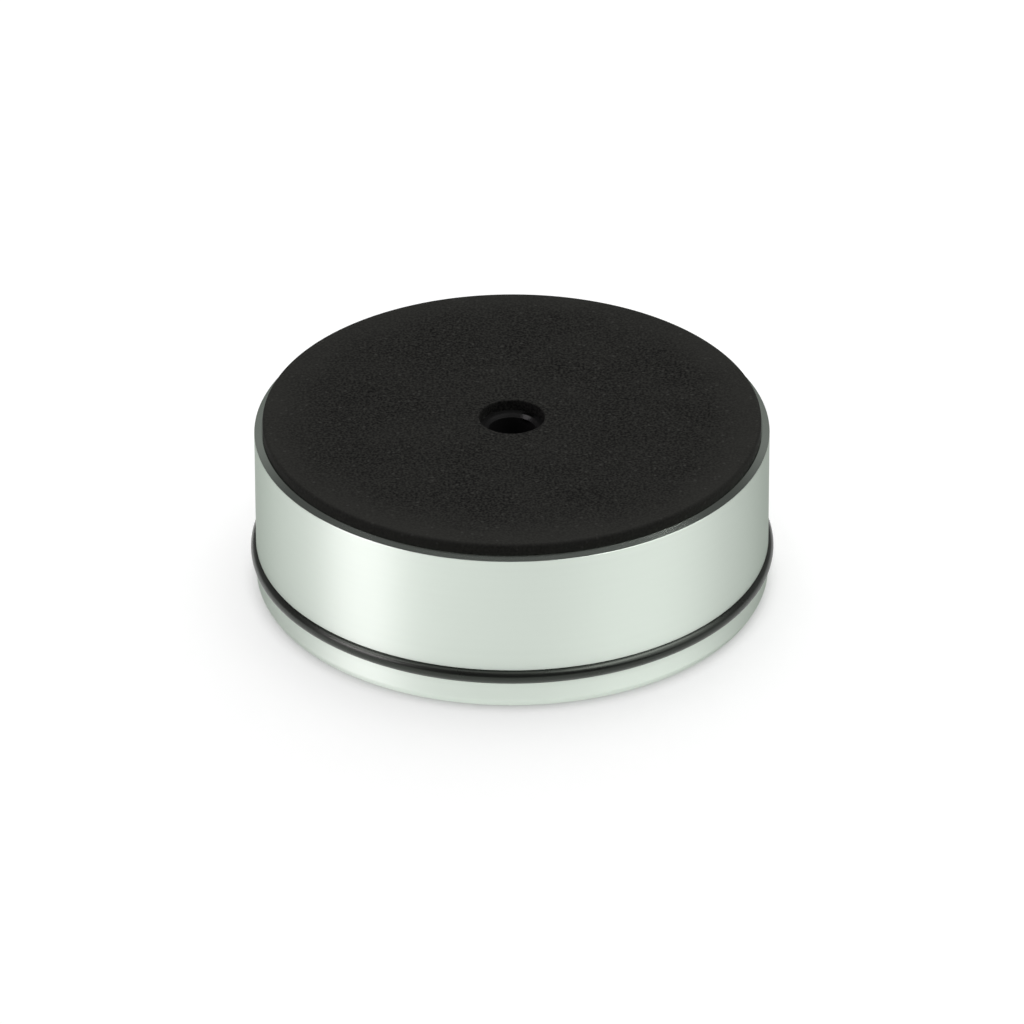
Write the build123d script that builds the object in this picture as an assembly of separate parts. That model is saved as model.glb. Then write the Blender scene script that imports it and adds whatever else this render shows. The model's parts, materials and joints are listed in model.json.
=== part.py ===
from build123d import *
import math
import os

# Record weight, stored upside down: its plain face is on z = 0 and its foam pad faces up.
# The Z axis is the axis of the spindle. All sizes are in millimetres and degrees.

# Driving dimensions of the turned body
BODY_DIAMETER = 80.0
BODY_HEIGHT = 26.4
RIM_BEVEL_WIDTH = 1.1
RIM_BEVEL_DROP = 0.3
FOOT_CHAMFER_WIDTH = 0.55
FOOT_CHAMFER_HEIGHT = 1.0

# Driving dimensions of the spindle bore
SPINDLE_DIAMETER = 7.15
SPINDLE_CLEARANCE = 0.125
MOUTH_CHAMFER = 0.5
DRILL_POINT_ANGLE = 118.0
END_WALL = 6.0

# Driving dimensions of the rubber ring and its groove
RING_WIDTH = 2.25
RING_DEPTH = 2.4
RING_STAND_OUT = 0.82
RING_BACK_CHAMFER = 0.4
GROOVE_SIDE_CLEARANCE = 0.05
GROOVE_HEIGHT = 4.25

# Driving dimensions of the foam pad
PAD_THICKNESS = 1.8
PAD_EDGE_MARGIN = 0.2
PAD_HOLE_MARGIN = 0.9

# Body: radii that follow from the sizes above
body_radius = BODY_DIAMETER / 2
foot_radius = body_radius - FOOT_CHAMFER_WIDTH
face_radius = body_radius - RIM_BEVEL_WIDTH

# Bore: a drilled blind hole, its point END_WALL short of the plain face
bore_radius = SPINDLE_DIAMETER / 2 + SPINDLE_CLEARANCE
mouth_radius = bore_radius + MOUTH_CHAMFER
drill_point_length = bore_radius / math.tan(math.radians(DRILL_POINT_ANGLE / 2))
bore_floor = END_WALL + drill_point_length

# Ring and groove: the ring is seated on the groove's floor and bulges out past the wall
ring_outer_radius = body_radius + RING_STAND_OUT
groove_floor_radius = ring_outer_radius - RING_DEPTH
back_edge_radius = groove_floor_radius + RING_BACK_CHAMFER
ring_foot = GROOVE_HEIGHT + GROOVE_SIDE_CLEARANCE
ring_top = ring_foot + RING_WIDTH
ring_middle = (ring_foot + ring_top) / 2
groove_top = ring_top + GROOVE_SIDE_CLEARANCE

# Pad: a margin inside the body's face, with a hole wider than the bore's mouth
pad_radius = face_radius - PAD_EDGE_MARGIN
pad_hole_radius = mouth_radius + PAD_HOLE_MARGIN


def turn(section):
    """Turn a half section, drawn as radius and height, about the spindle's axis."""
    return revolve(Plane.XZ * section, Axis.Z)


def make_body():
    """The puck: chamfered foot, shallow rim bevel, the ring's groove and the drilled bore with its mouth."""
    outline = Polyline(
        (0, 0),
        (foot_radius, 0),
        (body_radius, FOOT_CHAMFER_HEIGHT),
        (body_radius, GROOVE_HEIGHT),
        (groove_floor_radius, GROOVE_HEIGHT),
        (groove_floor_radius, groove_top),
        (body_radius, groove_top),
        (body_radius, BODY_HEIGHT - RIM_BEVEL_DROP),
        (face_radius, BODY_HEIGHT),
        (mouth_radius, BODY_HEIGHT),
        (bore_radius, BODY_HEIGHT - MOUTH_CHAMFER),
        (bore_radius, bore_floor),
        (0, END_WALL),
        close=True,
    )
    return turn(make_face(outline))


def make_pad():
    """The foam disc, die-cut and stuck to the body's face."""
    section = Rectangle(pad_radius - pad_hole_radius, PAD_THICKNESS, align=Align.MIN)
    return turn(Pos(pad_hole_radius, BODY_HEIGHT) * section)


def make_o_ring():
    """The rubber ring, squeezed square in its groove, with a face that bulges out between the groove's lips."""
    back = Polyline(
        (body_radius, ring_foot),
        (back_edge_radius, ring_foot),
        (groove_floor_radius, ring_foot + RING_BACK_CHAMFER),
        (groove_floor_radius, ring_top - RING_BACK_CHAMFER),
        (back_edge_radius, ring_top),
        (body_radius, ring_top),
    )
    bulge = ThreePointArc((body_radius, ring_top), (ring_outer_radius, ring_middle), (body_radius, ring_foot))
    return turn(make_face([*back.edges(), bulge]))


os.makedirs("parts", exist_ok=True)
for name, piece in {"body": make_body(), "pad": make_pad(), "o_ring": make_o_ring()}.items():
    piece.label = name
    export_step(piece, f"parts/{name}.step")
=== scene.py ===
import json
import math

import bmesh
import bpy
from mathutils import Matrix, Vector, noise


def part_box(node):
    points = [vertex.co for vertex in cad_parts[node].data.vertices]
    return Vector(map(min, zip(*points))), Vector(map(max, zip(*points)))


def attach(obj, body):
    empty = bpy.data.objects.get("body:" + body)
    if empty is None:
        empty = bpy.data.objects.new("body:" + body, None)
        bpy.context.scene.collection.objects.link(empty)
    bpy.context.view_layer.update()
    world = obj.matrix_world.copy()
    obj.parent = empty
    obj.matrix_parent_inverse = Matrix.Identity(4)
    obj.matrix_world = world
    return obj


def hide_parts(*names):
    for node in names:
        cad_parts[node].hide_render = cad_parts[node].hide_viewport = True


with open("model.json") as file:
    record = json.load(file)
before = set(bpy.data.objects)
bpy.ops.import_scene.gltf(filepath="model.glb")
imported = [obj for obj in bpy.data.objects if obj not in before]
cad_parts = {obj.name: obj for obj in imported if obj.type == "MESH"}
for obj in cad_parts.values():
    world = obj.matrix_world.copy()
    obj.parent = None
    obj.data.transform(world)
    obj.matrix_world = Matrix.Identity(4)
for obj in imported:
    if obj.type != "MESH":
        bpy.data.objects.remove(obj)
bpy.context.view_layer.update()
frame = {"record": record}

bl_info = {
    "name": "Record Weight",
    "version": (1, 0, 0),
    "blender": (4, 5, 0),
    "location": "3D View > Sidebar > Record Weight",
    "description": "Turns a record weight's body, pad and ring in their packed frame and sets the studio",
    "category": "Object",
}

# What the frame gives, in metres: boxes of the three sub-parts and the spindle's bore
MM = 0.001
BODY_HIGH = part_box("body")[1]
PAD_LOW, PAD_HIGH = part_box("pad")
RING_LOW, RING_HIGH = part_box("o_ring")
BORE = next(mount for mount in frame["record"]["mounts"] if mount["name"] == "spindle_bore")["dims"]

# Divisions of every turned piece, fine enough for a smooth outline close up
STEPS_AROUND = 384
STEPS_IN_CORNER = 5

# The band that most values of a noise texture fall in
NOISE_LOW = 0.3
NOISE_HIGH = 0.7

# Step between new nodes in the node editor
NODE_STEP = 200


# Properties

def length(name, description, default):
    """A length in metres."""
    return bpy.props.FloatProperty(
        name=name, description=description, default=default, min=0, precision=5, unit="LENGTH"
    )


def angle(name, description, degrees):
    """An angle, given in degrees and kept in radians."""
    return bpy.props.FloatProperty(
        name=name, description=description, default=math.radians(degrees), subtype="ANGLE"
    )


def share(name, description, default):
    """A number from 0 to 1."""
    return bpy.props.FloatProperty(
        name=name, description=description, default=default, min=0, max=1, subtype="FACTOR"
    )


def level(name, description, default):
    """A plain number from 0 up."""
    return bpy.props.FloatProperty(name=name, description=description, default=default, min=0)


def colour(name, description, default):
    """A linear colour."""
    return bpy.props.FloatVectorProperty(
        name=name, description=description, default=default, min=0, max=1, size=3, subtype="COLOR"
    )


class BodySettings(bpy.types.PropertyGroup):
    """Sizes and finish of the turned body."""

    radius: length("Radius", "Radius of the wall", BODY_HIGH.x)
    height: length("Height", "Height from the plain face to the pad's face", BODY_HIGH.z)
    bevel_width: length("Bevel Width", "Width of the shallow bevel round the pad", 1.1 * MM)
    bevel_drop: length("Bevel Drop", "How far that bevel falls to the wall", 0.43 * MM)
    foot_width: length("Foot Width", "Width of the chamfer round the plain face", 0.55 * MM)
    foot_height: length("Foot Height", "Height of that chamfer", 1.0 * MM)
    foot_round: length("Foot Rounding", "Radius that blends that chamfer into the wall", 1.2 * MM)
    sole_round: length("Sole Rounding", "Radius between that chamfer and the plain face", 0.2 * MM)
    rim_round: length("Rim Rounding", "Radius between the rim's bevel and the wall", 0.08 * MM)
    easing: length("Edge Easing", "Radius left on every other edge by the finishing cut", 0.05 * MM)
    bore_radius: length("Bore Radius", "Radius of the spindle's bore", BORE["r_mm"] * MM)
    bore_length: length("Bore Length", "Straight length of the bore", BORE["length_mm"] * MM)
    mouth_chamfer: length("Mouth Chamfer", "Chamfer of the bore's mouth", 0.5 * MM)
    drill_angle: angle("Drill Point", "Angle of the cone that the drill leaves", 118)
    groove_clearance: length("Groove Clearance", "Gap beside the ring on each side", 0.05 * MM)
    metal_colour: colour("Metal Colour", "Colour of the turned metal", (0.71, 0.78, 0.71))
    edge_tint: colour("Grazing Tint", "Share of light kept at a grazing angle", (0.44, 0.47, 0.44))
    roughness: share("Roughness", "Roughness of the satin wall", 0.42)
    face_roughness: share("Face Roughness", "Roughness of the faced ends", 0.3)
    bevel_roughness: share("Bevel Roughness", "Roughness of the finely cut bevel round the pad", 0.12)
    stretch: share("Highlight Stretch", "How far the turning lines draw a highlight across them", 0.83)
    black_colour: colour("Black Colour", "Colour of the blackened bore", (0.002, 0.002, 0.0019))
    black_roughness: share("Black Roughness", "Roughness of the blackened bore", 0.7)
    spot_turn: angle("Spot Turn", "Turn of the mouth's burnished spot, from the back to the right", 36)
    spot_radius: length("Spot Radius", "Radius of that spot", 0.6 * MM)
    spot_fade: length("Spot Fade", "Radius at which that spot has faded", 1.5 * MM)
    spot_roughness: share("Spot Roughness", "Roughness of that spot", 0.2)


class PadSettings(bpy.types.PropertyGroup):
    """Sizes and finish of the foam pad."""

    radius: length("Radius", "Radius of the die-cut disc", PAD_HIGH.x)
    hole_radius: length("Hole Radius", "Radius of the hole round the bore's mouth", 5.1 * MM)
    foot: length("Foot", "Height of the face that the pad is stuck to", PAD_LOW.z)
    top: length("Top", "Height of the pad's free face", PAD_HIGH.z)
    edge_round: length("Edge Rounding", "How far the die rolls the outer top edge over", 0.45 * MM)
    hole_round: length("Hole Rounding", "How far the die rolls the hole's top edge over", 0.2 * MM)
    foot_round: length("Foot Rounding", "Rounding of the glued edges", 0.05 * MM)
    unevenness: length("Unevenness", "Depth of the soft dips in the free face", 0.03 * MM)
    dip_width: length("Dip Width", "Width of those dips", 7 * MM)
    foam_colour: colour("Foam Colour", "Colour of the palest cell walls", (0.02538, 0.02538, 0.02241))
    speck_colour: colour("Speck Colour", "Colour of the cells cut open", (0.034, 0.034, 0.031))
    cell_size: level("Cell Size", "Width of one foam cell, in millimetres", 0.38)
    # Edge Sheen paints a sheen on the foam: its colour is painted paler towards its outer edge
    edge_sheen: share("Edge Sheen", "How far the foam has rubbed pale at its outer edge", 0.62)
    edge_sheen_width: length("Sheen Width", "How far in from the outer edge the foam has rubbed pale", 9 * MM)


class RingSettings(bpy.types.PropertyGroup):
    """Sizes and finish of the rubber ring."""

    outer_radius: length("Outer Radius", "Radius of the ring's outermost line", RING_HIGH.x)
    foot: length("Foot", "Height of the ring's lowest line", RING_LOW.z)
    top: length("Top", "Height of the ring's highest line", RING_HIGH.z)
    depth: length("Depth", "Thickness of the ring from the groove's floor to its outermost line", 2.4 * MM)
    back_chamfer: length("Back Chamfer", "Chamfer of the two edges on the groove's floor", 0.4 * MM)
    lip_round: length("Lip Rounding", "Rounding where the bulge meets the groove's lips", 0.1 * MM)
    rubber_colour: colour("Rubber Colour", "Colour of the rubber", (0.006, 0.0062, 0.0057))
    # The gleam is painted light: the ring's upper and lower flanks are painted paler, standing in for light
    # from above and from the floor; the specks share its colour
    gleam_and_speck_colour: colour("Gleam Colour", "Colour of the faint bloom on its flanks", (0.013, 0.0133, 0.0124))
    gloss_tint: colour("Gloss Tint", "Colour of the rubber's gloss", (0.9, 1.0, 0.88))
    roughness: share("Roughness", "Roughness of the rubber's skin", 0.28)


class StageSettings(bpy.types.PropertyGroup):
    """Camera, floor and light of the studio."""

    camera_distance: length("Camera Distance", "Distance from the camera to its aim", 1.6)
    camera_elevation: angle("Camera Elevation", "Height of the camera above the horizon", 30.827)
    camera_roll: angle("Camera Roll", "Turn of the camera about its own axis", -0.156)
    camera_lens: level("Lens", "Focal length on a 36 mm sensor", 360.68)
    aim_across: bpy.props.FloatProperty(
        name="Aim Across",
        description="Sideways place of the camera's aim",
        default=-0.023 * MM,
        unit="LENGTH",
    )
    aim_height: length("Aim Height", "Height of the camera's aim", 10.95 * MM)
    floor_size: length("Floor Size", "Side of the square floor", 12)
    floor_gap: length("Floor Gap", "How far the floor is below the plain face", 0.02 * MM)
    floor_colour: colour("Floor Colour", "Colour of the paper on the floor", (0.5, 0.5, 0.5))
    floor_glow: level("Floor Glow", "Light added to the paper where it is seen", 0.66)
    mirrored_glow: level("Mirrored Glow", "Light added to the paper where it is mirrored", 0.8)
    floor_lean: share("Floor Lean", "How much more the mirrored paper glows on its left half", 0.2)
    floor_front: share("Floor Front", "How much more the mirrored paper glows in front", 0.107)
    floor_close_front: level("Floor Close Front", "Share of the mirrored glow kept close in front", 1.2)
    floor_close_side: level("Floor Close Side", "Share of the mirrored glow kept close beside", 0.8)
    shade_width: length("Shade Width", "Reach of the soft shade round the weight's foot", 20 * MM)
    shade_depth: share("Shade Depth", "Share of the glow lost in that shade", 0.25)
    contact_width: length("Contact Width", "Reach of the dark line under the weight's foot", 3 * MM)
    contact_depth: share("Contact Depth", "Share of the glow lost in that line", 0.62)
    horizon_level: level("Horizon Level", "Brightness of the low white wall behind the weight", 0.24)
    front_level: level("Front Level", "Brightness of the room behind the camera", 0.15)
    back_level: level("Back Level", "Brightness of the room behind the weight", 0.09)
    ceiling_level: level("Ceiling Level", "Brightness of the room's ceiling", 0.11)
    overhead_level: level("Overhead Level", "Brightness of the overhead softbox", 1.2)
    left_low_level: level("Left Low Level", "Brightness of the left bank's low softbox", 2.1)
    left_middle_level: level("Left Middle Level", "Brightness of the left bank's middle softbox", 6.35)
    left_high_level: level("Left High Level", "Brightness of the left bank's high softbox", 4.1)
    right_low_level: level("Right Low Level", "Brightness of the right bank's low softbox", 1.0)
    right_middle_level: level("Right Middle Level", "Brightness of the right bank's middle softbox", 2.0)
    right_high_level: level("Right High Level", "Brightness of the right bank's high softbox", 5.6)
    top_level: level("Top Level", "Brightness of the softbox high above the camera", 1.25)


# Turned meshes

def at(radius, height):
    """A point of a half section, in the plane of the X and Z axes."""
    return Vector((radius, 0, height))


def eased(corners):
    """The outline through these (point, rounding) corners, each rounded by an arc."""
    outline = []
    for index, (corner, rounding) in enumerate(corners):
        if rounding == 0:
            outline.append(corner)
            continue
        back = (corners[index - 1][0] - corner).normalized()
        ahead = (corners[(index + 1) % len(corners)][0] - corner).normalized()
        half = back.angle(ahead) / 2
        centre = corner + (back + ahead).normalized() * (rounding / math.sin(half))
        first = corner + back * (rounding / math.tan(half)) - centre
        last = corner + ahead * (rounding / math.tan(half)) - centre
        for step in range(STEPS_IN_CORNER + 1):
            outline.append(centre + first.slerp(last, step / STEPS_IN_CORNER) * rounding)
    return outline


def divided(outline, longest):
    """The same outline with points added wherever a run is longer than this."""
    points = outline[:1]
    for start, end in zip(outline, outline[1:]):
        parts = max(1, math.ceil((end - start).length / longest))
        points += [start.lerp(end, part / parts) for part in range(1, parts + 1)]
    return points


def turned(name, outline, closed):
    """A new piece, turned once round the Z axis from an outline that runs anticlockwise."""
    shape = bmesh.new()
    spokes = [Matrix.Rotation(math.tau * step / STEPS_AROUND, 3, "Z") for step in range(STEPS_AROUND)]
    rings = []
    for point in outline:
        if point.x == 0:
            rings.append([shape.verts.new(point)] * STEPS_AROUND)
        else:
            rings.append([shape.verts.new(spoke @ point) for spoke in spokes])
    if closed:
        rings.append(rings[0])
    for ring, following in zip(rings, rings[1:]):
        for step in range(STEPS_AROUND):
            corners = (ring[step - 1], ring[step], following[step], following[step - 1])
            shape.faces.new(dict.fromkeys(corners))
    mesh = bpy.data.meshes.new(name)
    shape.to_mesh(mesh)
    shape.free()
    mesh.shade_smooth()
    piece = bpy.data.objects.new(name, mesh)
    bpy.context.scene.collection.objects.link(piece)
    return piece


def keep_flats_flat(piece):
    """Shade by the larger faces, so that a rounded edge doesn't bend the flats beside it."""
    flats = piece.modifiers.new("Flats Stay Flat", "WEIGHTED_NORMAL")
    flats.weight = 100


def stand_for(piece, node):
    """Let a piece take a CAD node's place, and hide the node."""
    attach(piece, "root")
    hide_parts(node)


# Shader nodes

def add(tree, kind, inputs=None, **options):
    """A new node with its options set and its inputs filled by values or by other sockets."""
    made = tree.nodes.new(kind)
    made.location.x = NODE_STEP * len(tree.nodes)
    for option, value in options.items():
        setattr(made, option, value)
    for key, value in (inputs or {}).items():
        if isinstance(value, bpy.types.NodeSocket):
            tree.links.new(value, made.inputs[key])
        else:
            made.inputs[key].default_value = value
    return made


def calculate(tree, operation, first, second=0.0):
    """The output of a Math node."""
    return add(tree, "ShaderNodeMath", {0: first, 1: second}, operation=operation).outputs[0]


def remap(tree, value, low, high, to_low, to_high):
    """A value moved smoothly from one range to another."""
    ranges = {"Value": value, "From Min": low, "From Max": high, "To Min": to_low, "To Max": to_high}
    return add(tree, "ShaderNodeMapRange", ranges, interpolation_type="SMOOTHSTEP").outputs["Result"]


def varied(tree, noise_value, low, high):
    """A noise texture's value, spread between two ends."""
    return remap(tree, noise_value, NOISE_LOW, NOISE_HIGH, low, high)


def blend_colours(tree, factor, first, second):
    """Two colours mixed by a factor, through the sockets that a Mix node keeps for colours."""
    inputs = {"Factor": factor, 6: first, 7: second}
    return add(tree, "ShaderNodeMix", inputs, data_type="RGBA").outputs[2]


def new_group(name, inputs, outputs):
    """An empty shader node group with these named sockets, and its two end nodes."""
    group = bpy.data.node_groups.new(name, "ShaderNodeTree")
    for label, kind in inputs.items():
        group.interface.new_socket(label, in_out="INPUT", socket_type=kind)
    for label, kind in outputs.items():
        group.interface.new_socket(label, in_out="OUTPUT", socket_type=kind)
    return group, add(group, "NodeGroupInput"), add(group, "NodeGroupOutput")


def new_material(name):
    """An empty node material and its output node."""
    material = bpy.data.materials.new(name)
    material.use_nodes = True
    material.node_tree.nodes.clear()
    return material, material.node_tree, add(material.node_tree, "ShaderNodeOutputMaterial")


def in_millimetres(tree):
    """The place on the object, in millimetres."""
    place = add(tree, "ShaderNodeTexCoord").outputs["Object"]
    return add(tree, "ShaderNodeVectorMath", {0: place, "Scale": 1 / MM}, operation="SCALE").outputs[0]


def from_axis(tree, place):
    """How far a place is from the weight's axis."""
    flatten = {0: place, 1: (1, 1, 0)}
    flat_place = add(tree, "ShaderNodeVectorMath", flatten, operation="MULTIPLY").outputs[0]
    return add(tree, "ShaderNodeVectorMath", {0: flat_place}, operation="LENGTH").outputs["Value"]


def opaque(linear_colour):
    """A colour with full alpha."""
    return (*linear_colour, 1.0)


def turning_lines():
    """Node group: the fine rings that a lathe tool leaves, the same on a wall, a face or a cone."""
    name = "Turning Lines"
    if name in bpy.data.node_groups:
        return bpy.data.node_groups[name]
    group, given, result = new_group(
        name,
        {"Place": "NodeSocketVector", "Lines per mm": "NodeSocketFloat"},
        {"Fine": "NodeSocketFloat", "Broad": "NodeSocketFloat"},
    )
    broad_share = 0.12
    place = given.outputs["Place"]
    height = add(group, "ShaderNodeSeparateXYZ", {0: place}).outputs["Z"]
    across = add(group, "ShaderNodeCombineXYZ", {0: from_axis(group, place), 1: height}).outputs[0]
    fine_lines = given.outputs["Lines per mm"]
    broad_lines = calculate(group, "MULTIPLY", fine_lines, broad_share)
    for label, lines, detail in (("Fine", fine_lines, 2.0), ("Broad", broad_lines, 1.0)):
        inputs = {"Vector": across, "Scale": lines, "Detail": detail}
        texture = add(group, "ShaderNodeTexNoise", inputs, noise_dimensions="2D")
        group.links.new(texture.outputs[0], result.inputs[label])
    return group


def grain():
    """Node group: a fine even grain with sparse specks and a slow drift, for foam and rubber."""
    name = "Grain"
    if name in bpy.data.node_groups:
        return bpy.data.node_groups[name]
    group, given, result = new_group(
        name,
        {"Place": "NodeSocketVector", "Size": "NodeSocketFloat", "Drift Width": "NodeSocketFloat"},
        {"Grain": "NodeSocketFloat", "Specks": "NodeSocketFloat", "Drift": "NodeSocketFloat"},
    )
    speck_spacing = 2.0
    plain_share = 0.9
    speck_core = 0.15
    speck_edge = 0.45
    place = given.outputs["Place"]
    per_mm = calculate(group, "DIVIDE", 1.0, given.outputs["Size"])
    specks_per_mm = calculate(group, "DIVIDE", per_mm, speck_spacing)
    drift_per_mm = calculate(group, "DIVIDE", 1.0, given.outputs["Drift Width"])
    cells = add(group, "ShaderNodeTexNoise", {"Vector": place, "Scale": per_mm, "Detail": 1.0})
    dots = add(group, "ShaderNodeTexVoronoi", {"Vector": place, "Scale": specks_per_mm})
    chance = add(group, "ShaderNodeSeparateColor", {0: dots.outputs["Color"]}).outputs[0]
    chosen = calculate(group, "GREATER_THAN", chance, plain_share)
    near = remap(group, dots.outputs["Distance"], speck_core, speck_edge, 1.0, 0.0)
    drift = add(group, "ShaderNodeTexNoise", {"Vector": place, "Scale": drift_per_mm, "Detail": 2.0})
    group.links.new(cells.outputs[0], result.inputs["Grain"])
    group.links.new(calculate(group, "MULTIPLY", chosen, near), result.inputs["Specks"])
    group.links.new(drift.outputs[0], result.inputs["Drift"])
    return group


def turned_metal(name, settings, lines_per_mm, shade, roughness):
    """Light metal with turning lines that draw its highlights across them."""
    material, tree, output = new_material(name)
    lines = add(tree, "ShaderNodeGroup", node_tree=turning_lines())
    tree.links.new(in_millimetres(tree), lines.inputs["Place"])
    lines.inputs["Lines per mm"].default_value = lines_per_mm
    dull_share = 0.985
    spread = 0.006
    bright = [channel * shade for channel in settings.metal_colour]
    dull = [channel * dull_share for channel in bright]
    tone = blend_colours(tree, lines.outputs["Broad"], opaque(dull), opaque(bright))
    dullness = varied(tree, lines.outputs["Fine"], roughness - spread, roughness + spread)
    ridges = add(
        tree, "ShaderNodeBump", {"Height": lines.outputs["Fine"], "Strength": 0.02, "Distance": 0.01 * MM}
    ).outputs["Normal"]
    circles = add(tree, "ShaderNodeTangent", direction_type="RADIAL", axis="Z").outputs["Tangent"]
    metal = add(
        tree,
        "ShaderNodeBsdfPrincipled",
        {
            "Base Color": tone,
            "Metallic": 1.0,
            "Roughness": dullness,
            "Specular Tint": opaque(settings.edge_tint),
            "Anisotropic": settings.stretch,
            "Anisotropic Rotation": 0.25,
            "Tangent": circles,
            "Normal": ridges,
        },
        distribution="GGX",
    )
    tree.links.new(metal.outputs["BSDF"], output.inputs["Surface"])
    return material


def blackened_metal(settings):
    """Matte black over the drilled bore, with faint drill lines and one burnished spot on its mouth."""
    material, tree, output = new_material("Blackened Bore")
    lines = add(tree, "ShaderNodeGroup", node_tree=turning_lines())
    place = in_millimetres(tree)
    tree.links.new(place, lines.inputs["Place"])
    lines.inputs["Lines per mm"].default_value = 4.0
    worn_gain = 2
    spread = 0.05
    paler_tone = [channel * worn_gain for channel in settings.black_colour]
    tone = blend_colours(tree, lines.outputs["Broad"], opaque(settings.black_colour), opaque(paler_tone))
    mouth = settings.bore_radius + settings.mouth_chamfer / 2
    turn = settings.spot_turn
    spot = (mouth / MM * math.sin(turn), mouth / MM * math.cos(turn), settings.height / MM)
    away = add(tree, "ShaderNodeVectorMath", {0: place, 1: spot}, operation="DISTANCE").outputs["Value"]
    roughness = settings.black_roughness
    matte = varied(tree, lines.outputs["Fine"], roughness - spread, roughness + spread)
    spot_core = settings.spot_radius / MM
    spot_edge = settings.spot_fade / MM
    dullness = remap(tree, away, spot_core, spot_edge, settings.spot_roughness, matte)
    finish = add(
        tree,
        "ShaderNodeBsdfPrincipled",
        {"Base Color": tone, "Roughness": dullness, "Specular IOR Level": 0.15},
    )
    tree.links.new(finish.outputs["BSDF"], output.inputs["Surface"])
    return material


def black_foam(settings):
    """Black closed-cell foam: matte cell walls, cells cut open as paler specks, tiny pits, and a painted
    sheen that pales its outer edge.
    """
    material, tree, output = new_material("Black Foam")
    cells = add(tree, "ShaderNodeGroup", node_tree=grain())
    place = in_millimetres(tree)
    tree.links.new(place, cells.inputs["Place"])
    cells.inputs["Size"].default_value = settings.cell_size
    cells.inputs["Drift Width"].default_value = 9.0
    hollow_grain = 0.25
    wall_grain = 0.75
    most_drift = 0.2
    hollow = opaque((0, 0, 0))
    pale = opaque(settings.foam_colour)
    paleness = remap(tree, cells.outputs["Grain"], hollow_grain, wall_grain, 0.0, 1.0)
    walls = blend_colours(tree, paleness, hollow, pale)
    # Painted sheen: the foam's colour is painted paler towards its outer edge; the drift adds random paler
    # patches
    edge = settings.radius / MM
    sheen_start = edge - settings.edge_sheen_width / MM
    sheened = remap(tree, from_axis(tree, place), sheen_start, edge, 0.0, settings.edge_sheen)
    drifting = varied(tree, cells.outputs["Drift"], 0.0, most_drift)
    paler_tone = blend_colours(tree, calculate(tree, "ADD", drifting, sheened), walls, pale)
    tone = blend_colours(tree, cells.outputs["Specks"], paler_tone, opaque(settings.speck_colour))
    pits = add(
        tree, "ShaderNodeBump", {"Height": cells.outputs["Grain"], "Strength": 0.35, "Distance": 0.12 * MM}
    ).outputs["Normal"]
    foam = add(
        tree,
        "ShaderNodeBsdfPrincipled",
        {"Base Color": tone, "Roughness": 0.85, "Specular IOR Level": 0.1, "Normal": pits},
    )
    tree.links.new(foam.outputs["BSDF"], output.inputs["Surface"])
    return material


def black_rubber(settings):
    """Black moulded rubber: a satin skin, with a painted gleam on its upper and lower flanks."""
    material, tree, output = new_material("Black Rubber")
    skin = add(tree, "ShaderNodeGroup", node_tree=grain())
    tree.links.new(in_millimetres(tree), skin.inputs["Place"])
    skin.inputs["Size"].default_value = 0.12
    skin.inputs["Drift Width"].default_value = 6.0
    flank_start = 0.4
    flank_full = 0.85
    thinnest_gleam = 0.6
    smoother = 0.02
    duller = 0.03
    # Painted gleam: the upper and lower flanks are painted paler, standing in for light from above and from
    # the floor
    normal = add(tree, "ShaderNodeNewGeometry").outputs["Normal"]
    rise = add(tree, "ShaderNodeSeparateXYZ", {0: normal}).outputs["Z"]
    flanks = remap(tree, calculate(tree, "ABSOLUTE", rise), flank_start, flank_full, 0.0, 1.0)
    uneven_gleam = varied(tree, skin.outputs["Drift"], thinnest_gleam, 1.0)
    gleam = calculate(tree, "MULTIPLY", uneven_gleam, flanks)
    gleamed = blend_colours(tree, gleam, opaque(settings.rubber_colour), opaque(settings.gleam_and_speck_colour))
    tone = blend_colours(tree, skin.outputs["Specks"], gleamed, opaque(settings.gleam_and_speck_colour))
    roughness = settings.roughness
    dullness = varied(tree, skin.outputs["Drift"], roughness - smoother, roughness + duller)
    fine_skin = add(
        tree, "ShaderNodeBump", {"Height": skin.outputs["Grain"], "Strength": 0.08, "Distance": 0.02 * MM}
    ).outputs["Normal"]
    rubber = add(
        tree,
        "ShaderNodeBsdfPrincipled",
        {
            "Base Color": tone,
            "Roughness": dullness,
            "Specular IOR Level": 0.5,
            "Specular Tint": opaque(settings.gloss_tint),
            "Normal": fine_skin,
        },
    )
    tree.links.new(rubber.outputs["BSDF"], output.inputs["Surface"])
    return material


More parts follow.
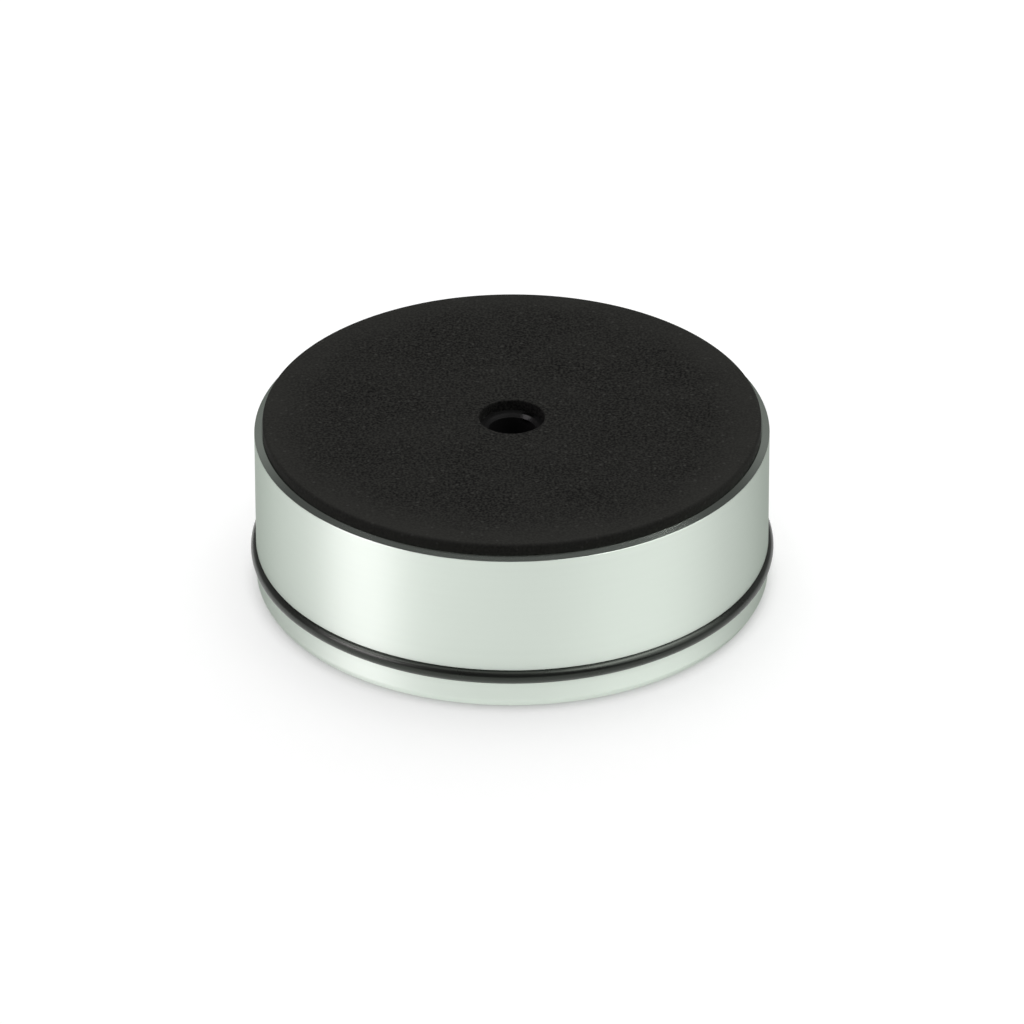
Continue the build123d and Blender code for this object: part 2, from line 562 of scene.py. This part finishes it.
def white_paper(settings):
    """White floor paper: it glows where it is seen or mirrored, and keeps the weight's shade."""
    material, tree, output = new_material("White Paper")
    path = add(tree, "ShaderNodeLightPath").outputs
    seen = path["Is Camera Ray"]
    for width, depth in (
        (settings.shade_width, settings.shade_depth),
        (settings.contact_width, settings.contact_depth),
    ):
        open_sky = add(tree, "ShaderNodeAmbientOcclusion", {"Distance": width}).outputs["AO"]
        seen = calculate(tree, "MULTIPLY", seen, remap(tree, open_sky, 0.0, 1.0, 1 - depth, 1.0))
    # Where the mirrored glow changes, in metres from the weight's axis
    left, right = -0.12, 0.12
    front, middle = -0.06, -0.01
    ahead, abreast = -0.036, -0.018
    near, far = 0.042, 0.056
    place = add(tree, "ShaderNodeTexCoord").outputs["Object"]
    axes = add(tree, "ShaderNodeSeparateXYZ", {0: place}).outputs
    sideways = remap(tree, axes["X"], left, right, 1 + settings.floor_lean, 1 - settings.floor_lean)
    forwards = remap(tree, axes["Y"], front, middle, 1 + settings.floor_front, 1 - settings.floor_front)
    distance = add(tree, "ShaderNodeVectorMath", {0: place}, operation="LENGTH").outputs["Value"]
    beside = remap(tree, axes["Y"], ahead, abreast, settings.floor_close_front, settings.floor_close_side)
    close_by = remap(tree, distance, near, far, beside, 1.0)
    mirrored = calculate(tree, "MAXIMUM", path["Is Glossy Ray"], path["Is Transmission Ray"])
    for factor in (sideways, forwards, close_by, settings.mirrored_glow):
        mirrored = calculate(tree, "MULTIPLY", mirrored, factor)
    strength = calculate(tree, "ADD", calculate(tree, "MULTIPLY", seen, settings.floor_glow), mirrored)
    glow = add(tree, "ShaderNodeEmission", {"Strength": strength}).outputs[0]
    paper = add(tree, "ShaderNodeBsdfDiffuse", {"Color": opaque(settings.floor_colour)}).outputs[0]
    lit = add(tree, "ShaderNodeAddShader", {0: paper, 1: glow}).outputs[0]
    below = add(tree, "ShaderNodeNewGeometry").outputs["Backfacing"]
    clear = add(tree, "ShaderNodeBsdfTransparent").outputs[0]
    either = add(tree, "ShaderNodeMixShader", {0: below, 1: lit, 2: clear}).outputs[0]
    tree.links.new(either, output.inputs["Surface"])
    return material


# Pieces

class RECORDWEIGHT_OT_body(bpy.types.Operator):
    """Turn the metal body with its groove and bore"""

    bl_idname = "record_weight.body"
    bl_label = "Turn Body"

    # Material slots of the body's finishes
    WALL, END, BEVEL, BLACK = range(4)

    # Turning lines in a millimetre of the wall and the ends, and the share of the wall's colour on the ends
    WALL_LINES = 9.0
    END_LINES = 7.0
    END_SHADE = 0.97

    # A face counts as level when the rise of its normal is beyond this
    LEVEL_RISE = 0.9

    def execute(self, context):
        body = context.scene.record_weight_body
        ring = context.scene.record_weight_ring
        black_radius = context.scene.record_weight_pad.hole_radius
        foot_radius = body.radius - body.foot_width
        face_radius = body.radius - body.bevel_width
        groove_foot = ring.foot - body.groove_clearance
        groove_top = ring.top + body.groove_clearance
        groove_radius = ring.outer_radius - ring.depth
        mouth_radius = body.bore_radius + body.mouth_chamfer
        bore_top = body.height - body.mouth_chamfer
        bore_floor = bore_top - body.bore_length
        drill_point = bore_floor - body.bore_radius / math.tan(body.drill_angle / 2)
        corners = [
            (at(0, 0), 0),
            (at(foot_radius, 0), body.sole_round),
            (at(body.radius, body.foot_height), body.foot_round),
            (at(body.radius, groove_foot), body.easing),
            (at(groove_radius, groove_foot), body.easing),
            (at(groove_radius, groove_top), body.easing),
            (at(body.radius, groove_top), body.easing),
            (at(body.radius, body.height - body.bevel_drop), body.rim_round),
            (at(face_radius, body.height), body.easing),
            (at(black_radius, body.height), 0),
            (at(mouth_radius, body.height), body.easing),
            (at(body.bore_radius, bore_top), body.easing),
            (at(body.bore_radius, bore_floor), body.easing),
            (at(0, drill_point), 0),
        ]
        piece = turned("turned_body", eased(corners), closed=False)
        keep_flats_flat(piece)
        finishes = (
            turned_metal("Satin Wall", body, self.WALL_LINES, 1.0, body.roughness),
            turned_metal("Faced End", body, self.END_LINES, self.END_SHADE, body.face_roughness),
            turned_metal("Cut Bevel", body, self.END_LINES, self.END_SHADE, body.bevel_roughness),
            blackened_metal(body),
        )
        for finish in finishes:
            piece.data.materials.append(finish)
        for face in piece.data.polygons:
            middle = face.center
            if middle.xy.length < black_radius and middle.z > drill_point:
                face.material_index = self.BLACK
            elif face.normal.z > self.LEVEL_RISE:
                face.material_index = self.BEVEL
            elif face.normal.z < -self.LEVEL_RISE:
                face.material_index = self.END
            else:
                face.material_index = self.WALL
        stand_for(piece, "body")
        return {"FINISHED"}


class RECORDWEIGHT_OT_pad(bpy.types.Operator):
    """Cut the foam pad and lay it on the body's face"""

    bl_idname = "record_weight.pad"
    bl_label = "Lay Pad"

    # Longest run of the pad's outline between two points, fine enough for the soft dips
    LONGEST_RUN = 0.8 * MM

    def execute(self, context):
        pad = context.scene.record_weight_pad
        corners = [
            (at(pad.hole_radius, pad.foot), pad.foot_round),
            (at(pad.radius, pad.foot), pad.foot_round),
            (at(pad.radius, pad.top), pad.edge_round),
            (at(pad.hole_radius, pad.top), pad.hole_round),
        ]
        outline = divided(eased(corners), self.LONGEST_RUN)
        piece = turned("foam_pad", outline, closed=True)
        for vertex in piece.data.vertices:
            height_share = (vertex.co.z - pad.foot) / (pad.top - pad.foot)
            dip = 0.5 + 0.5 * noise.noise(vertex.co / pad.dip_width)
            vertex.co.z -= pad.unevenness * min(1.0, max(0.0, dip)) * height_share
        keep_flats_flat(piece)
        piece.data.materials.append(black_foam(pad))
        stand_for(piece, "pad")
        return {"FINISHED"}


class RECORDWEIGHT_OT_ring(bpy.types.Operator):
    """Squeeze the rubber ring into the body's groove"""

    bl_idname = "record_weight.ring"
    bl_label = "Seat Ring"

    STEPS_IN_BULGE = 32

    def execute(self, context):
        ring = context.scene.record_weight_ring
        wall_radius = context.scene.record_weight_body.radius
        half_width = (ring.top - ring.foot) / 2
        stand_out = ring.outer_radius - wall_radius
        bulge_radius = (half_width ** 2 + stand_out ** 2) / (2 * stand_out)
        half_turn = math.asin(half_width / bulge_radius)
        centre = at(ring.outer_radius - bulge_radius, ring.foot + half_width)
        corners = []
        for step in range(self.STEPS_IN_BULGE + 1):
            turn = half_turn * (2 * step / self.STEPS_IN_BULGE - 1)
            lip = ring.lip_round if step in (0, self.STEPS_IN_BULGE) else 0
            corners.append((centre + at(bulge_radius * math.cos(turn), bulge_radius * math.sin(turn)), lip))
        back_radius = ring.outer_radius - ring.depth
        corners += [
            (at(back_radius + ring.back_chamfer, ring.top), 0),
            (at(back_radius, ring.top - ring.back_chamfer), 0),
            (at(back_radius, ring.foot + ring.back_chamfer), 0),
            (at(back_radius + ring.back_chamfer, ring.foot), 0),
        ]
        piece = turned("rubber_ring", eased(corners), closed=True)
        keep_flats_flat(piece)
        piece.data.materials.append(black_rubber(ring))
        stand_for(piece, "o_ring")
        return {"FINISHED"}


# Stage

def towards(azimuth, elevation):
    """The way from the weight to a place: azimuth 0 is the camera's side, and 90 is to its right."""
    turn, rise = math.radians(azimuth), math.radians(elevation)
    return Vector((math.sin(turn) * math.cos(rise), -math.cos(turn) * math.cos(rise), math.sin(rise)))


def softbox(name, place, width, height, brightness, tint, mirrored):
    """A soft lamp that faces the weight, either mirrored in it or lighting its matte surfaces."""
    lamp = bpy.data.lights.new(name, "AREA")
    lamp.shape = "RECTANGLE"
    lamp.size = width
    lamp.size_y = height
    # A soft face gives off pi times its brightness from each square metre
    lamp.energy = brightness * math.pi * width * height
    lamp.color = tint
    box = bpy.data.objects.new(name, lamp)
    box.location = place
    box.rotation_euler = (-place).to_track_quat("-Z", "Y").to_euler()
    box.visible_camera = False
    box.visible_glossy = mirrored
    box.visible_diffuse = not mirrored
    bpy.context.scene.collection.objects.link(box)


class RECORDWEIGHT_OT_stage(bpy.types.Operator):
    """Set the floor, the softboxes, the room and the camera"""

    bl_idname = "record_weight.stage"
    bl_label = "Set Stage"

    # Tints of the softboxes
    WHITE = (1.0, 1.0, 1.0)
    ROSY = (1.0, 0.88, 0.98)
    FAINTLY_ROSY = (1.0, 0.95, 0.99)

    # The square softbox overhead, which lights the matte surfaces
    OVERHEAD_PLACE = Vector((0.1, 0.5, 1.0))
    OVERHEAD_SIDE = 2.4

    # Softboxes that the metal and the rubber mirror: name, azimuth, elevation, width, height and tint
    BANKS = (
        ("left_low", -65, 13, 0.5, 0.26, ROSY),
        ("left_middle", -68, 28, 0.5, 0.26, ROSY),
        ("left_high", -82, 50, 0.5, 0.36, FAINTLY_ROSY),
        ("right_low", 76, 19, 0.6, 0.25, WHITE),
        ("right_middle", 72, 37, 0.9, 0.34, WHITE),
        ("right_high", 74, 58, 0.9, 0.36, WHITE),
        ("top", 0, 76, 0.9, 0.34, WHITE),
    )

    # Where the mirrored room's parts blend, as the Y (turn) or Z (top, edge) of a unit direction
    WALL_TURN = (-0.3, 0.4)
    HORIZON_TURN = (-0.3, 0.3)
    HORIZON_TOP = (0.4, 0.68)
    CEILING_EDGE = (0.82, 0.97)

    def execute(self, context):
        stage = context.scene.record_weight_stage
        self.lay_floor(context.scene, stage)
        self.light(stage)
        self.set_room(context.scene, stage)
        self.place_camera(context.scene, stage)
        context.scene.view_settings.view_transform = "Standard"
        return {"FINISHED"}

    def lay_floor(self, scene, stage):
        shape = bmesh.new()
        bmesh.ops.create_grid(shape, x_segments=1, y_segments=1, size=stage.floor_size / 2)
        mesh = bpy.data.meshes.new("floor")
        shape.to_mesh(mesh)
        shape.free()
        mesh.materials.append(white_paper(stage))
        floor = bpy.data.objects.new("floor", mesh)
        floor.location.z = -stage.floor_gap
        scene.collection.objects.link(floor)

    def light(self, stage):
        side = self.OVERHEAD_SIDE
        brightness = stage.overhead_level
        softbox("overhead_softbox", self.OVERHEAD_PLACE, side, side, brightness, self.WHITE, mirrored=False)
        for name, azimuth, elevation, width, height, tint in self.BANKS:
            brightness = getattr(stage, f"{name}_level")
            place = towards(azimuth, elevation)
            softbox(f"{name}_softbox", place, width, height, brightness, tint, mirrored=True)

    def set_room(self, scene, stage):
        world = bpy.data.worlds.new("Studio Room")
        world.use_nodes = True
        tree = world.node_tree
        tree.nodes.clear()
        direction = add(tree, "ShaderNodeTexCoord").outputs["Generated"]
        axes = add(tree, "ShaderNodeSeparateXYZ", {0: direction}).outputs
        walls = remap(tree, axes["Y"], *self.WALL_TURN, stage.front_level, stage.back_level)
        roofed = remap(tree, axes["Z"], *self.CEILING_EDGE, walls, stage.ceiling_level)
        horizon = remap(tree, axes["Y"], *self.HORIZON_TURN, stage.front_level, stage.horizon_level)
        mirrored = remap(tree, axes["Z"], *self.HORIZON_TOP, horizon, roofed)
        seen = add(tree, "ShaderNodeLightPath").outputs["Is Camera Ray"]
        strength = remap(tree, seen, 0.0, 1.0, mirrored, 1.0)
        room = add(tree, "ShaderNodeBackground", {"Color": (1, 1, 1, 1), "Strength": strength}).outputs[0]
        add(tree, "ShaderNodeOutputWorld", {"Surface": room})
        scene.world = world

    def place_camera(self, scene, stage):
        aim = Vector((stage.aim_across, 0, stage.aim_height))
        back = towards(0, math.degrees(stage.camera_elevation))
        lens = bpy.data.cameras.new("camera")
        lens.lens = stage.camera_lens
        camera = bpy.data.objects.new("camera", lens)
        turn = (-back).to_track_quat("-Z", "Y").to_matrix().to_4x4()
        place = Matrix.Translation(aim + back * stage.camera_distance)
        camera.matrix_world = place @ turn @ Matrix.Rotation(stage.camera_roll, 4, "Z")
        scene.collection.objects.link(camera)
        scene.camera = camera


class RECORDWEIGHT_PT_sidebar(bpy.types.Panel):
    """Lists the steps that dress the record weight"""

    bl_idname = "RECORDWEIGHT_PT_sidebar"
    bl_label = "Record Weight"
    bl_space_type = "VIEW_3D"
    bl_region_type = "UI"
    bl_category = "Record Weight"

    def draw(self, context):
        for operator, settings in STEPS.items():
            box = self.layout.box()
            box.operator(operator.bl_idname)
            group = getattr(context.scene, settings)
            for name in group.bl_rna.properties.keys():
                if name not in {"rna_type", "name"}:
                    box.prop(group, name)


# The operators in their order, each with the scene's settings that it reads
STEPS = {
    RECORDWEIGHT_OT_body: "record_weight_body",
    RECORDWEIGHT_OT_pad: "record_weight_pad",
    RECORDWEIGHT_OT_ring: "record_weight_ring",
    RECORDWEIGHT_OT_stage: "record_weight_stage",
}

# The scene's settings and their classes
SETTINGS = {
    "record_weight_body": BodySettings,
    "record_weight_pad": PadSettings,
    "record_weight_ring": RingSettings,
    "record_weight_stage": StageSettings,
}


def register():
    for name, settings in SETTINGS.items():
        bpy.utils.register_class(settings)
        setattr(bpy.types.Scene, name, bpy.props.PointerProperty(type=settings))
    for operator in STEPS:
        bpy.utils.register_class(operator)
    bpy.utils.register_class(RECORDWEIGHT_PT_sidebar)


def unregister():
    bpy.utils.unregister_class(RECORDWEIGHT_PT_sidebar)
    for operator in STEPS:
        bpy.utils.unregister_class(operator)
    for name, settings in SETTINGS.items():
        delattr(bpy.types.Scene, name)
        bpy.utils.unregister_class(settings)


def main():
    register()
    bpy.ops.record_weight.body()
    bpy.ops.record_weight.pad()
    bpy.ops.record_weight.ring()
    bpy.ops.record_weight.stage()


if __name__ == "__main__":
    main()
